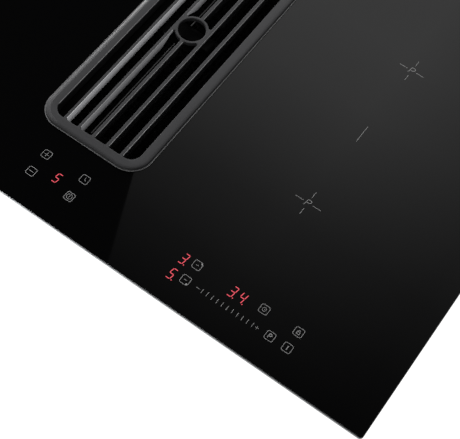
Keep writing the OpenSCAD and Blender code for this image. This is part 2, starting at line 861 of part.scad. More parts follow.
module motor_stator() {
    color([0.55, 0.4, 0.25]) at_blower(stator_z) difference() {
        union() {
            cylinder(h = stator_base_t, r = stator_flange_r);
            cylinder(h = stator_h, r = stator_r);
        }
        translate([0, 0, stator_base_t]) cylinder(h = stator_h, r = bearing_r);
        translate([0, 0, shaft_z - stator_z]) cylinder(h = stator_h, r = shaft_r + 1);
    }
}

module motor_bearings() {
    color([0.8, 0.8, 0.82]) for (z = [stator_base_t, stator_h - bearing_h])
        at_blower(stator_z + z) difference() {
            cylinder(h = bearing_h, r = bearing_r);
            translate([0, 0, -1]) cylinder(h = bearing_h + 2, r = shaft_r + running);
        }
}

module motor_shaft() {
    color([0.75, 0.75, 0.77]) at_blower(shaft_z)
        cylinder(h = cup_z - shaft_z, r = shaft_r);
}

// Drum impeller: blades between a back plate and a ring, round a hub that covers the motor
module impeller() {
    plate = 2;
    top = cup_z + cup_t - wheel_z;
    color([0.2, 0.2, 0.21]) at_blower(wheel_z) {
        rotate_extrude() polygon([[cup_r - cup_t, 0], [fan_r, 0], [fan_r, plate], [cup_r, plate],
            [cup_r, top], [0, top], [0, top - cup_t], [cup_r - cup_t, top - cup_t]]);
        rotate_extrude() translate([fan_r - blade_chord / 2, blade_h - plate])
            square([blade_chord / 2, plate]);
        for (i = [0:blade_n - 1]) rotate(360 * i / blade_n)
            translate([fan_r - blade_chord / 2 - 1.5, 0, blade_h / 2]) rotate(30)
                cube([blade_chord, blade_t, blade_h - plate], center = true);
    }
}

// Plan of the diffuser from the fan's axis, between the scroll's outlet and the collar
module diffuser_plan(grow, past) {
    half = duct_w / 2 - duct_t + grow;
    mid = [collar_x - blower_x, collar_y0 - blower_y + past];
    polygon([
        [scroll_left - grow, scroll_out - past], [scroll_right + grow, scroll_out - past],
        mid + [half, 0], mid - [half, 0]
    ]);
}

module diffuser() {
    color([0.14, 0.14, 0.15]) difference() {
        at_blower(duct_z) linear_extrude(duct_h) diffuser_plan(duct_t, 0);
        at_blower(duct_z + duct_t) linear_extrude(duct_h - 2 * duct_t) diffuser_plan(0, 1);
    }
}

module outlet_collar() {
    x0 = collar_x - duct_w / 2;
    x1 = collar_x + duct_w / 2;
    color([0.12, 0.12, 0.12]) difference() {
        block([x0, collar_y0, duct_z], [x1, collar_y1, duct_z + duct_h]);
        block([x0 + duct_t, collar_y0 - 1, duct_z + duct_t],
            [x1 - duct_t, collar_y1 + 1, duct_z + duct_h - duct_t]);
        translate([x0 - 1, flap_y, flap_z]) rotate([0, 90, 0])
            cylinder(h = duct_w + 2, r = pin_r + running);
    }
}

// Flap that hangs from a pin at the top of the collar and is blown open
module outlet_flap() {
    half = duct_w / 2 - duct_t - flap_gap;
    low = duct_z + duct_t + flap_gap;
    color([0.3, 0.3, 0.3]) {
        translate([collar_x, flap_y, flap_z]) rotate([0, 90, 0])
            cylinder(h = 2 * half, r = flap_r, center = true);
        translate([collar_x, flap_y, flap_z]) rotate([0, 90, 0])
            cylinder(h = duct_w, r = pin_r, center = true);
        block([collar_x - half, flap_y - flap_t / 2, low],
            [collar_x + half, flap_y + flap_t / 2, flap_z]);
    }
}

// Plate under the housing with the hinge pins of the cover and the cable clamp
module terminal_base() {
    plate = box_t;
    ear = hinge_x + knuckle_w / 2 + loose;
    clamp_l = 16;
    color([0.85, 0.85, 0.83]) {
        difference() {
            union() {
                block([box_x - box_w / 2, hinge_y - 6, pan_z - plate],
                    [box_x + box_w / 2, box_y + box_l / 2 + clamp_l, pan_z]);
                block([box_x - cable_r - 5, box_y + box_l / 2 + loose, pan_z - 2 * cable_r - 6],
                    [box_x + cable_r + 5, box_y + box_l / 2 + clamp_l, pan_z]);
            }
            translate([box_x, box_y, pan_z - plate - 1]) cylinder(h = plate + 2, r = cable_r + 4);
            translate([box_x, box_y + box_l / 2, pan_z - cable_r - 3]) rotate([-90, 0, 0])
                cylinder(h = clamp_l + 1, r = cable_r + running);
        }
        for (s = [-1, 1]) {
            translate([box_x + s * (ear + ear_t / 2), hinge_y, 0])
                block([-ear_t / 2, -ear_r, hinge_z], [ear_t / 2, ear_r, pan_z - plate / 2]);
            translate([box_x + s * (ear + ear_t / 2), hinge_y, hinge_z]) rotate([0, 90, 0])
                cylinder(h = ear_t, r = ear_r, center = true);
            translate([box_x + s * (ear + ear_t / 2), hinge_y, hinge_z]) rotate([0, -s * 90, 0])
                cylinder(h = ear_t / 2 + knuckle_w + loose, r = pin_r);
        }
    }
}

module terminal_block() {
    way = 10;
    ways = 5;
    color([0.9, 0.9, 0.85]) translate([box_x, box_y - 12, pan_z - box_t - 18]) difference() {
        translate([-ways * way / 2, -11, 0]) cube([ways * way, 22, 18]);
        for (i = [0:ways - 1]) translate([(i - (ways - 1) / 2) * way, 0, 6])
            rotate([-90, 0, 0]) cylinder(h = 30, r = 2.6, center = true);
    }
}

// Tub that closes the terminal box from below; it swings down on two knuckles
module terminal_cover() {
    top = pan_z - box_t - 0.4;
    low = top - box_h;
    color([0.8, 0.8, 0.78]) difference() {
        union() {
            translate([box_x, box_y, low]) difference() {
                slab(box_w, box_l, box_h, 4);
                translate([0, 0, box_t])
                    slab(box_w - 2 * box_t, box_l - 2 * box_t, box_h, 2);
            }
            for (s = [-1, 1]) translate([box_x + s * hinge_x, 0, 0]) {
                translate([0, hinge_y, hinge_z]) rotate([0, 90, 0])
                    cylinder(h = knuckle_w, r = pin_r + 1.6, center = true);
                block([-knuckle_w / 2, hinge_y, hinge_z - pin_r - 1.6],
                    [knuckle_w / 2, box_y - box_l / 2 + box_t, hinge_z + pin_r]);
            }
        }
        for (s = [-1, 1]) translate([box_x + s * hinge_x, hinge_y, hinge_z]) rotate([0, 90, 0])
            cylinder(h = knuckle_w + 2, r = pin_r + running, center = true);
        block([box_x - cable_r - 6, box_y + box_l / 2 - 2 * box_t, top - 2 * cable_r - 8],
            [box_x + cable_r + 6, box_y + box_l / 2 + 1, top + 1]);
    }
}

// Angle brackets that pull the cooktop down onto the worktop
module clamp_brackets() {
    x0 = pan_w / 2;
    z0 = glass_z - seal_t - 40;
    color([0.7, 0.7, 0.72]) for (sx = [-1, 1], sy = [-1, 1]) scale([sx, sy, 1]) difference() {
        union() {
            block([x0, clamp_y - clamp_w / 2, z0], [x0 + clamp_t, clamp_y + clamp_w / 2, z0 + clamp_h]);
            block([x0, clamp_y - clamp_w / 2, z0],
                [x0 + clamp_reach, clamp_y + clamp_w / 2, z0 + clamp_t]);
        }
        translate([x0, clamp_y, z0 + clamp_h / 2]) rotate([0, 90, 0])
            cylinder(h = 4 * clamp_t, r = screw_r + screw_gap, center = true);
    }
}

// Screw axes: four at the clamps, and a row along each long side of the case
module each_screw() {
    for (sx = [-1, 1], sy = [-1, 1])
        translate([sx * (pan_w / 2 + clamp_t), sy * clamp_y, glass_z - seal_t - 40 + clamp_h / 2])
            rotate([0, sx * 90, 0]) children();
    for (x = [case_x0 - case_flange / 2, case_x1 + case_flange / 2], i = [-1:1])
        translate([x, (case_y0 + case_y1) / 2 + i * case_d / 2.6, pan_z - sheet])
            rotate([180, 0, 0]) children();
}

module screw_places(r) {
    each_screw() translate([0, 0, -8]) cylinder(h = 16, r = r);
}

module screws() {
    color([0.8, 0.8, 0.82]) each_screw() difference() {
        union() {
            cylinder(h = head_h, r = head_r);
            translate([0, 0, -screw_l]) cylinder(h = screw_l, r = screw_r);
        }
        translate([0, 0, head_h]) cube([1, 4.4, 2], center = true);
        translate([0, 0, head_h]) cube([4.4, 1, 2], center = true);
    }
}

glass_plate();
worktop_seal();
grille();
grille_pads();
filter_frame();
filter_meshes();
filter_core();
filter_handle();
liquid_tray();
throat_liner();
hob_pan();
coil_plate_left();
coil_plate_right();
mica_sheets();
coil_carrier_front_left();
coil_carrier_rear_left();
coil_carrier_front_right();
coil_carrier_rear_right();
coil_winding_front_left();
coil_winding_rear_left();
coil_winding_front_right();
coil_winding_rear_right();
coil_ferrites_front_left();
coil_ferrites_rear_left();
coil_ferrites_front_right();
coil_ferrites_rear_right();
temperature_sensors();
power_board_left();
power_board_right();
heatsink_left();
heatsink_right();
board_parts_left();
board_parts_right();
cooling_fan_frame_left();
cooling_fan_frame_right();
cooling_fan_rotor_left();
cooling_fan_rotor_right();
touch_board_left();
touch_board_centre();
touch_board_right();
touch_pads();
display_modules();
extractor_case();
intake_chamber();
bridge_duct();
scroll_base();
scroll_lid();
motor_mounts();
motor_stator();
motor_bearings();
motor_shaft();
impeller();
diffuser();
outlet_collar();
outlet_flap();
terminal_base();
terminal_block();
terminal_cover();
clamp_brackets();
screws();
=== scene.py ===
import json
import math

import bmesh
import bpy
from mathutils import Matrix, Vector
from mathutils.geometry import tessellate_polygon


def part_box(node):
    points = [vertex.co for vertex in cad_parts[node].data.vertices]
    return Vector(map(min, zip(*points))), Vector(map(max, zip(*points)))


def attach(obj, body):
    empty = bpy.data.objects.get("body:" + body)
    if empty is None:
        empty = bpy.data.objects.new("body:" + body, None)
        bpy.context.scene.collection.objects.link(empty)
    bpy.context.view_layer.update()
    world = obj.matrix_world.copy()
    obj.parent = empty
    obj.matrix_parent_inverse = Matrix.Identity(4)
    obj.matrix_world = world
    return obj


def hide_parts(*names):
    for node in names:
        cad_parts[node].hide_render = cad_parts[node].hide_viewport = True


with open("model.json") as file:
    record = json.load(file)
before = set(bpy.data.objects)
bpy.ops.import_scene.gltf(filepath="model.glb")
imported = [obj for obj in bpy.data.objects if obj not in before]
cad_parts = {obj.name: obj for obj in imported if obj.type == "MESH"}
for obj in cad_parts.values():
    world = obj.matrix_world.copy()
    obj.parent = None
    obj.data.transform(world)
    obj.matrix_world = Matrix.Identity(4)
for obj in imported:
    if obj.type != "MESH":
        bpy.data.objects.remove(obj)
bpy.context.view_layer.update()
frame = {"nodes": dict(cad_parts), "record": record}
MM = 0.001

glass_lo, glass_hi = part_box("glass_plate")
grille_lo, grille_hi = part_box("grille")
glass_top = glass_hi.z
corner = Vector((glass_hi.x, glass_lo.y, glass_top))
# Middle of the glass, in millimetres to the right of its front right corner
centre = (glass_lo.x - glass_hi.x) / 2 / MM


# ---------------------------------------------------------------- materials

def shader(name, base, rough, metal=0.0, **more):
    """A Principled material, its node tree and its shader, on which more sets other even values."""
    mat = bpy.data.materials.new(name)
    mat.use_nodes = True
    tree = mat.node_tree
    bsdf = tree.nodes["Principled BSDF"]
    bsdf.inputs["Base Color"].default_value = (*base, 1)
    bsdf.inputs["Roughness"].default_value = rough
    bsdf.inputs["Metallic"].default_value = metal
    for key, value in more.items():
        bsdf.inputs[key.replace("_", " ")].default_value = value
    return mat, tree, bsdf


def place(tree, stretch=(1, 1, 1)):
    """The piece's own coordinates in metres, stretched."""
    coord = tree.nodes.new("ShaderNodeTexCoord")
    mapping = tree.nodes.new("ShaderNodeMapping")
    mapping.inputs["Scale"].default_value = stretch
    tree.links.new(coord.outputs["Object"], mapping.inputs["Vector"])
    return mapping.outputs["Vector"]


def noise(tree, at, scale, detail=4.0, rough=0.55):
    node = tree.nodes.new("ShaderNodeTexNoise")
    node.inputs["Scale"].default_value = scale
    node.inputs["Detail"].default_value = detail
    node.inputs["Roughness"].default_value = rough
    tree.links.new(at, node.inputs["Vector"])
    return node.outputs["Fac"]


def cells(tree, at, scale, feature="F1", out="Distance"):
    node = tree.nodes.new("ShaderNodeTexVoronoi")
    node.feature = feature
    node.inputs["Scale"].default_value = scale
    tree.links.new(at, node.inputs["Vector"])
    return node.outputs[out]


def spread(tree, value, low, high, a=0.3, b=0.7):
    """value, from a to b, mapped to low to high."""
    node = tree.nodes.new("ShaderNodeMapRange")
    for key, number in zip(("From Min", "From Max", "To Min", "To Max"), (a, b, low, high)):
        node.inputs[key].default_value = number
    tree.links.new(value, node.inputs["Value"])
    return node.outputs["Result"]


# Sockets of a Mix node that blends colours
MIX_FACTOR, MIX_A, MIX_B, MIX_RESULT = 0, 6, 7, 2


def blend_colors(tree, value, one, two):
    node = tree.nodes.new("ShaderNodeMix")
    node.data_type = "RGBA"
    node.inputs[MIX_A].default_value = (*one, 1)
    node.inputs[MIX_B].default_value = (*two, 1)
    tree.links.new(value, node.inputs[MIX_FACTOR])
    return node.outputs[MIX_RESULT]


def vary(tree, value, base, low, high):
    """A colour that goes from base darkened to base lightened as value goes from 0 to 1."""
    return blend_colors(tree, value, shade(base, low), shade(base, high))


def raise_by(tree, bsdf, value, height):
    """Bump of a height in metres, on top of any that the shader has."""
    node = tree.nodes.new("ShaderNodeBump")
    node.inputs["Strength"].default_value = 1.0
    node.inputs["Distance"].default_value = height
    tree.links.new(value, node.inputs["Height"])
    old = bsdf.inputs["Normal"]
    if old.is_linked:
        tree.links.new(old.links[0].from_socket, node.inputs["Normal"])
    tree.links.new(node.outputs["Normal"], old)


def shade(color, k):
    return tuple(min(1.0, c * k) for c in color)


def moulded(name, base, rough=0.5, grain=1500.0, bump=0.00003, tint=0.12, **more):
    """Plastic, rubber or paint: fine grain in the surface, slow change of tone and gloss."""
    mat, tree, bsdf = shader(name, base, rough, **more)
    at = place(tree)
    fine = noise(tree, at, grain, 2.0)
    slow = noise(tree, at, 28.0, 5.0)
    tone = vary(tree, spread(tree, slow, 0, 1), base, 1 - tint, 1 + tint)
    tree.links.new(tone, bsdf.inputs["Base Color"])
    tree.links.new(spread(tree, slow, rough - 0.05, rough + 0.07), bsdf.inputs["Roughness"])
    raise_by(tree, bsdf, fine, bump)
    return mat


def rolled(name, base, rough=0.3, along=(60, 2, 60)):
    """Rolled, drawn or brushed metal: fine lines along the direction that is stretched least."""
    mat, tree, bsdf = shader(name, base, rough, 1.0)
    lines = noise(tree, place(tree, along), 60.0, 6.0, 0.65)
    slow = noise(tree, place(tree), 14.0, 4.0)
    tone = vary(tree, spread(tree, lines, 0, 1), base, 0.9, 1.1)
    tree.links.new(tone, bsdf.inputs["Base Color"])
    tree.links.new(spread(tree, slow, rough - 0.06, rough + 0.1), bsdf.inputs["Roughness"])
    raise_by(tree, bsdf, lines, 0.00002)
    return mat


def galvanised(name, base):
    """Zinc-coated sheet: crystals of slightly different tone and gloss, under a dull film."""
    mat, tree, bsdf = shader(name, base, 0.42, 0.85)
    at = place(tree)
    crystal = cells(tree, at, 95.0, "F1", "Color")
    grey = tree.nodes.new("ShaderNodeSeparateColor")
    tree.links.new(crystal, grey.inputs["Color"])
    film = noise(tree, at, 9.0, 6.0)
    tone = vary(tree, grey.outputs["Red"], base, 0.84, 1.1)
    tree.links.new(tone, bsdf.inputs["Base Color"])
    gloss = tree.nodes.new("ShaderNodeMath")
    gloss.operation = "ADD"
    tree.links.new(spread(tree, grey.outputs["Green"], -0.07, 0.07, 0, 1), gloss.inputs[0])
    tree.links.new(spread(tree, film, 0.34, 0.52), gloss.inputs[1])
    tree.links.new(gloss.outputs[0], bsdf.inputs["Roughness"])
    raise_by(tree, bsdf, cells(tree, at, 95.0, "DISTANCE_TO_EDGE"), 0.00002)
    raise_by(tree, bsdf, noise(tree, at, 700.0, 3.0), 0.00002)
    return mat


def enamel(name, base):
    """Matt black powder coat of the grille: orange peel with a finer grain on it."""
    mat, tree, bsdf = shader(name, base, 0.46)
    at = place(tree)
    grain = noise(tree, at, 2600.0, 3.0)
    peel = noise(tree, at, 420.0, 2.0)
    slow = noise(tree, at, 22.0, 4.0)
    tone = vary(tree, spread(tree, grain, 0, 1), base, 0.78, 1.2)
    tree.links.new(tone, bsdf.inputs["Base Color"])
    tree.links.new(spread(tree, slow, 0.4, 0.52), bsdf.inputs["Roughness"])
    raise_by(tree, bsdf, peel, 0.00003)
    raise_by(tree, bsdf, grain, 0.000012)
    return mat


def ceramic_glass(name):
    """Polished black glass-ceramic with ground edges: side faces are duller and paler."""
    top_black, edge_black = (0.0012, 0.0012, 0.0013), (0.05, 0.052, 0.054)
    mat, tree, bsdf = shader(name, top_black, 0.03, IOR=1.5)
    at = place(tree)
    geometry = tree.nodes.new("ShaderNodeNewGeometry")
    parts = tree.nodes.new("ShaderNodeSeparateXYZ")
    tree.links.new(geometry.outputs["True Normal"], parts.inputs["Vector"])
    side = spread(tree, parts.outputs["Z"], 1, 0, 0.5, 0.9)
    tree.links.new(blend_colors(tree, side, top_black, edge_black), bsdf.inputs["Base Color"])
    haze = noise(tree, at, 16.0, 5.0)
    gloss = tree.nodes.new("ShaderNodeMath")
    gloss.operation = "MULTIPLY_ADD"
    gloss.inputs[1].default_value = 0.3
    tree.links.new(side, gloss.inputs[0])
    tree.links.new(spread(tree, haze, 0.012, 0.04), gloss.inputs[2])
    tree.links.new(gloss.outputs[0], bsdf.inputs["Roughness"])
    return mat


def foam(name, base):
    mat, tree, bsdf = shader(name, base, 0.9)
    at = place(tree)
    pores = cells(tree, at, 1100.0)
    # Darker in the pores, where the bump is lowest: painted shade.
    tone = vary(tree, spread(tree, pores, 0, 1, 0.1, 0.6), base, 0.4, 1.4)
    tree.links.new(tone, bsdf.inputs["Base Color"])
    raise_by(tree, bsdf, pores, 0.0002)
    return mat


def litz(name, base):
    """Twisted bundle of enamelled copper strands."""
    mat, tree, bsdf = shader(name, base, 0.32, 1.0)
    at = place(tree)
    wave = tree.nodes.new("ShaderNodeTexWave")
    wave.bands_direction = "DIAGONAL"
    wave.inputs["Scale"].default_value = 420.0
    wave.inputs["Distortion"].default_value = 2.0
    tree.links.new(at, wave.inputs["Vector"])
    # Darker in the grooves between strands, where the bump is lowest: painted shade.
    tone = vary(tree, wave.outputs["Fac"], base, 0.45, 1.15)
    tree.links.new(tone, bsdf.inputs["Base Color"])
    raise_by(tree, bsdf, wave.outputs["Fac"], 0.0001)
    return mat


def board(name, base):
    """Solder mask, with paler lines where the copper tracks lie under it."""
    mat, tree, bsdf = shader(name, base, 0.35)
    at = place(tree)
    brick = tree.nodes.new("ShaderNodeTexBrick")
    brick.inputs["Scale"].default_value = 90.0
    brick.inputs["Mortar Size"].default_value = 0.06
    brick.inputs["Color1"].default_value = (*shade(base, 0.75), 1)
    brick.inputs["Color2"].default_value = (*shade(base, 1.1), 1)
    brick.inputs["Mortar"].default_value = (*shade(base, 2.0), 1)
    tree.links.new(at, brick.inputs["Vector"])
    tree.links.new(brick.outputs["Color"], bsdf.inputs["Base Color"])
    raise_by(tree, bsdf, brick.outputs["Fac"], 0.00005)
    return mat


def lit(name, color, strength):
    """Lit display segment, slightly uneven in its brightness."""
    mat, tree, bsdf = shader(name, (0.08, 0.005, 0.008), 0.3)
    at = place(tree)
    glow = noise(tree, at, 900.0, 1.0)
    bsdf.inputs["Emission Color"].default_value = (*color, 1)
    even = spread(tree, glow, 0.85 * strength, 1.1 * strength)
    tree.links.new(even, bsdf.inputs["Emission Strength"])
    return mat


# Dull parts below the grille, which the photograph shows as black
dull = {"rough": 0.6, "Specular_IOR_Level": 0.1}
finishes = {
    "glass_black": ceramic_glass("glass_black"),
    "seal_foam": foam("seal_foam", (0.03, 0.03, 0.032)),
    "grille_black": enamel("grille_black", (0.052, 0.052, 0.054)),
    "silicone": moulded("silicone", (0.02, 0.02, 0.02), 0.6),
    # The filter's near-zero blacks are partly its own black coating and partly painted shade:
    # darkened far below any coating so it stays black in the throat under the grille.
    "filter_metal": moulded("filter_metal", (0.004, 0.004, 0.004), 0.6, 1800.0,
                            Specular_IOR_Level=0.15),
    "filter_mesh": moulded("filter_mesh", (0.002, 0.002, 0.002), grain=1800.0, **dull),
    "filter_handle": moulded("filter_handle", (0.002, 0.002, 0.002), **dull),
    "tray_black": moulded("tray_black", (0.02, 0.02, 0.021), 0.38, 1100.0),
    "liner_black": moulded("liner_black", (0.006, 0.006, 0.006), 0.6, Specular_IOR_Level=0.2),
    "galvanised_sheet": galvanised("galvanised_sheet", (0.3, 0.305, 0.31)),
    "mica": moulded("mica", (0.55, 0.5, 0.38), 0.45, 500.0, 0.00005, 0.25),
    "sensor_ceramic": moulded("sensor_ceramic", (0.8, 0.79, 0.74), 0.5),
    "pad_metal": rolled("pad_metal", (0.7, 0.66, 0.5)),
    "display_red": lit("display_red", (1.0, 0.13, 0.17), 0.95),
    "duct_plastic": moulded("duct_plastic", (0.03, 0.03, 0.032), 0.42, 900.0),
    "flap_plastic": moulded("flap_plastic", (0.1, 0.1, 0.1), 0.45),
    "rubber_black": moulded("rubber_black", (0.02, 0.02, 0.02), 0.7),
    "motor_metal": rolled("motor_metal", (0.4, 0.38, 0.35), 0.35, (2, 2, 160)),
    "bearing_steel": rolled("bearing_steel", (0.6, 0.6, 0.62), 0.2),
    "impeller_plastic": moulded("impeller_plastic", (0.05, 0.05, 0.055), 0.4),
    "terminal_plastic": moulded("terminal_plastic", (0.5, 0.49, 0.46), 0.45, 1000.0, 0.00003, 0.05),
    "zinc_steel": rolled("zinc_steel", (0.62, 0.62, 0.6), 0.35),
    "screw_steel": rolled("screw_steel", (0.6, 0.6, 0.6), 0.28),
    "coil_plate_metal": rolled("coil_plate_metal", (0.62, 0.63, 0.64), 0.32),
    "carrier_plastic": moulded("carrier_plastic", (0.66, 0.64, 0.58), 0.5),
    "litz_copper": litz("litz_copper", (0.72, 0.34, 0.16)),
    "ferrite": moulded("ferrite", (0.06, 0.06, 0.065), 0.5, 600.0, 0.00006, 0.3),
    "circuit_board": board("circuit_board", (0.02, 0.13, 0.06)),
    "heatsink_metal": rolled("heatsink_metal", (0.6, 0.6, 0.61), 0.3),
    "board_parts": moulded("board_parts", (0.05, 0.06, 0.1), 0.3),
    "fan_plastic": moulded("fan_plastic", (0.025, 0.025, 0.025), 0.4),
}
# The lip's paler grey is a painted highlight: the grille's own enamel made lighter, standing in for
# the light that its rounded edge catches.
lip_painted_highlight = enamel("grille_lip_painted_highlight", (0.12, 0.12, 0.122))
bead_metal = moulded("filter_bead", (0.05, 0.05, 0.05), 0.5, 1800.0)
print_grey = moulded("print_grey", (0.3, 0.3, 0.3), 0.55, 2500.0, 0.00001, 0.06)

for row in frame["record"]["subparts"]:
    mesh = frame["nodes"][row["node"]].data
    mesh.materials.clear()
    mesh.materials.append(finishes[row["material_slot"]])


# ---------------------------------------------------------------- mesh helpers

def clean(bm):
    """Joins vertices in one place and turns all faces outwards."""
    bmesh.ops.remove_doubles(bm, verts=bm.verts, dist=1e-7)
    bmesh.ops.recalc_face_normals(bm, faces=bm.faces)


def add_piece(name, bm, mat, body, sharp=35):
    """Makes a piece of a bmesh, smooth but for edges over sharp degrees, that rides on a body."""
    clean(bm)
    mesh = bpy.data.meshes.new(name)
    bm.to_mesh(mesh)
    bm.free()
    mesh.shade_smooth()
    mesh.set_sharp_from_angle(angle=math.radians(sharp))
    mesh.materials.append(mat)
    obj = bpy.data.objects.new(name, mesh)
    bpy.context.scene.collection.objects.link(obj)
    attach(obj, body)
    return obj


def strip(bm, a, b, closed=True):
    """Faces between two rows of vertices of one length."""
    last = len(a) if closed else len(a) - 1
    for i in range(last):
        j = (i + 1) % len(a)
        bm.faces.new((a[i], a[j], b[j], b[i]))


def fill(bm, loops):
    """Faces over a flat region: the first loop is its outline, and the others are holes."""
    verts = [v for loop in loops for v in loop]
    flat = [[Vector((v.co.x, v.co.y, 0)) for v in loop] for loop in loops]
    for tri in tessellate_polygon(flat):
        try:
            bm.faces.new([verts[i] for i in tri])
        except ValueError:
            # The triangle is there already, or two of its corners are one vertex
            pass


def arc(cx, cy, r, a0, a1, n):
    """Points of an arc in n steps, between two angles in degrees."""
    return [(cx + r * math.cos(math.radians(a0 + (a1 - a0) * i / n)),
             cy + r * math.sin(math.radians(a0 + (a1 - a0) * i / n))) for i in range(n + 1)]


def circle(cx, cy, r, n):
    """Outline of a circle with n corners."""
    return arc(cx, cy, r, 0, 360, n)[:-1]


def round_rect(x0, x1, y0, y1, radii, n=10, grow=0.0):
    """Counterclockwise outline of a rectangle, radii from the lower left round, grown outwards."""
    corners = ((x0, y0, 1, 1, 180), (x1, y0, -1, 1, 270), (x1, y1, -1, -1, 0), (x0, y1, 1, -1, 90))
    out = []
    for (x, y, sx, sy, a), r in zip(corners, radii):
        out += arc(x + sx * r, y + sy * r, r + grow, a, a + 90, n)
    return out


# ---------------------------------------------------------------- grille

# Sizes in millimetres about the middle of the grille, levels measured from the top of the glass
half_w = (grille_hi.x - grille_lo.x) / 2 / MM
half_l = (grille_hi.y - grille_lo.y) / 2 / MM
rise = (grille_hi.z - glass_top) / MM
g_mid = Vector(((grille_lo.x + grille_hi.x) / 2, (grille_lo.y + grille_hi.y) / 2, glass_top))
band, slope, corner_r = 14.0, 6.5, 27.5
slat_n, slat_t, slat_h = 5, 3.9, 13.5
ring_in, ring_out, ring_h = 16.0, 19.4, 5.0
open_x, open_y = half_w - band, half_l - band
pitch = (2 * open_x + slat_t) / (slat_n + 1)
END_FILLET, TIGHT_FILLET = 1.8, 1.2
SKIRT_Z = -12.0
# The slots that the finger ring cuts in two, and the length over which the slats beside it deepen
RING_SLOTS, RAMP = (2, 3), 14.0
# Distances from the middle at which the slats' lower edges get points
CUTS = (ring_out, 26, 33.5, 60, 100, 140)


def slot_loop(i, part, grow):
    """Outline of one slot of the grille, grown outwards.

    part is 0 for a whole slot, and -1 or 1 for the front or rear part of one that the ring cuts.
    """
    x0 = -open_x + i * pitch
    x1 = x0 + pitch - slat_t
    big, fillet = corner_r - band, END_FILLET
    if i == 0:
        radii = [big, TIGHT_FILLET, TIGHT_FILLET, big]
    elif i == slat_n:
        radii = [TIGHT_FILLET, big, big, TIGHT_FILLET]
    else:
        radii = [fillet] * 4
    if part == 0:
        return round_rect(x0, x1, -open_y, open_y, radii, 8, grow)
    reach = ring_out + fillet
    left = Vector((x0 + fillet, math.sqrt(reach ** 2 - (x0 + fillet) ** 2)))
    right = Vector((x1 - fillet, math.sqrt(reach ** 2 - (x1 - fillet) ** 2)))
    a_left = math.degrees(math.atan2(left.y, left.x))
    a_right = math.degrees(math.atan2(right.y, right.x))
    out = arc(left.x, left.y, fillet + grow, 180, 180 + a_left, 8)
    out += arc(0, 0, ring_out - grow, a_left, a_right, 10)[1:-1]
    out += arc(right.x, right.y, fillet + grow, 180 + a_right, 360, 8)
    out += arc(x1 - fillet, open_y - fillet, fillet + grow, 0, 90, 8)
    out += arc(x0 + fillet, open_y - fillet, fillet + grow, 90, 180, 8)
    if part < 0:
        out = [(x, -y) for x, y in reversed(out)]
    return out


def under(x, y):
    """Level of the grille's underside: deep slats, shallow round the ring, deepest at the skirt."""
    if abs(x) > open_x - 0.1 or abs(y) > open_y - 0.1:
        return SKIRT_Z
    deep, shallow = rise - slat_h, rise - ring_h
    if abs(x) > 1.5 * pitch:
        return deep
    share = min(1.0, max(0.0, (abs(y) - ring_out) / RAMP))
    return shallow + (deep - shallow) * share


def refine(loop):
    """Adds points along the long sides of a slot, so that its lower edge follows the underside."""
    longest, margin = 30, 1e-6
    out = []
    for (xa, ya), (xb, yb) in zip(loop, loop[1:] + loop[:1]):
        out.append((xa, ya))
        if abs(yb - ya) > longest:
            cuts = sorted({s * y for y in CUTS for s in (-1, 1)}, reverse=yb < ya)
            inside = [y for y in cuts if min(ya, yb) < y - margin and y + margin < max(ya, yb)]
            out += [(xa + (xb - xa) * (y - ya) / (yb - ya), y) for y in inside]
    return out


def vert(bm, x, y, z):
    """Vertex, in millimetres from the point of the glass's level in the middle of the grille."""
    return bm.verts.new(g_mid + Vector((x, y, z)) * MM)


def ring_verts(bm, loop, z):
    """Vertices over a plan. z is one level for all of them, or a function of x and y."""
    return [vert(bm, x, y, z(x, y) if callable(z) else z) for x, y in loop]


def strips(bm, rows):
    """Faces between each row and the next."""
    for a, b in zip(rows, rows[1:]):
        strip(bm, a, b)


def hole_walls(bm, outline, edge, steps=4):
    """Walls of a hole from its rounded upper edge down. Returns its top and bottom rows."""
    chamfer = 0.4
    rows = []
    for k in range(steps + 1):
        a = math.radians(90 * k / steps)
        loop = refine(outline(edge * (1 - math.sin(a))))
        rows.append(ring_verts(bm, loop, rise - edge * (1 - math.cos(a))))
    rows.append(ring_verts(bm, refine(outline(0)), lambda x, y: under(x, y) + chamfer))
    rows.append(ring_verts(bm, refine(outline(chamfer)), under))
    strips(bm, rows)
    return rows[0], rows[-1]


def move_faces(bm, wanted):
    """Takes the faces that wanted(face) picks out of bm and returns them as a new bmesh."""
    other = bm.copy()
    for mesh, keep in ((bm, False), (other, True)):
        mesh.faces.ensure_lookup_table()
        gone = [f for f in mesh.faces if bool(wanted(f)) != keep]
        bmesh.ops.delete(mesh, geom=gone, context="FACES")
    return other


def middle_of(f):
    """Middle of a face, in millimetres from the middle of the grille."""
    return (f.calc_center_median() - g_mid) / MM


def on_wall(f, walls):
    """Whether a face is on one of the slats' right walls, given by their distances to the right."""
    c = middle_of(f)
    if abs(c.y) >= open_y - 2 or abs(f.normal.x) <= 0.25 or abs(f.normal.y) >= 0.3:
        return False
    return any(x - 0.8 < c.x < x + 0.3 for x in walls)


def past_corner(x, y):
    """Distance of a point outside the rectangle of the centres of the grille's corners."""
    return math.hypot(max(0.0, x - (half_w - corner_r)), max(0.0, y - (half_l - corner_r)))


def on_lip(f):
    """Whether a face is on the thin lip round the foot of the grille's slope."""
    c = middle_of(f)
    return past_corner(abs(c.x), abs(c.y)) > corner_r - 1.35 and 0.4 < c.z < 1.3


def on_left_slope(f):
    """Whether a face is on the rounded slope of the grille's left side, with its corners."""
    c = middle_of(f)
    return (-c.x > half_w - corner_r and c.z > 1.15
            and past_corner(-c.x, abs(c.y)) > corner_r - slope)


